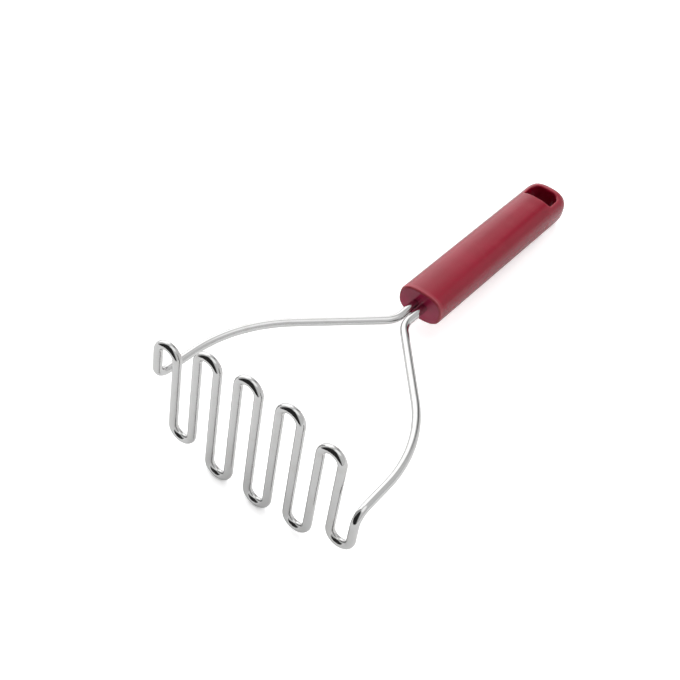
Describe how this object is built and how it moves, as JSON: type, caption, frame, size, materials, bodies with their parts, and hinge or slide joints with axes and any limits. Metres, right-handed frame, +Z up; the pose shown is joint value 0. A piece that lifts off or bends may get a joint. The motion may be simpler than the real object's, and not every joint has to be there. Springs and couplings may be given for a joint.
{
  "type": "wire potato masher",
  "caption": "Hand masher with a zigzag head bent from one round steel wire, whose two arms meet in a straight oval plastic handle with a hanging eye.",
  "frame": {"origin": "centre of the bounding box, on the table that the masher lies on", "axes": "+Z up from the table; +Y level, from the mashing head towards the handle's tail; +X to the right when looking along +Y. The handle slopes down towards its tail by 6.1 degrees, as the masher rests on two lower bends of the wire and on the handle's tail."},
  "size_m": [0.1204, 0.2638, 0.074],
  "materials": {
    "steel_wire": "polished stainless steel wire",
    "core_plastic": "as moulded, hidden inside the handle",
    "red_plastic": "smooth moulded plastic, satin gloss"
  },
  "bodies": {
    "root": {"masher_wire": "steel_wire", "handle_core": "core_plastic", "handle_shell": "red_plastic"}
  },
  "joints": []
}
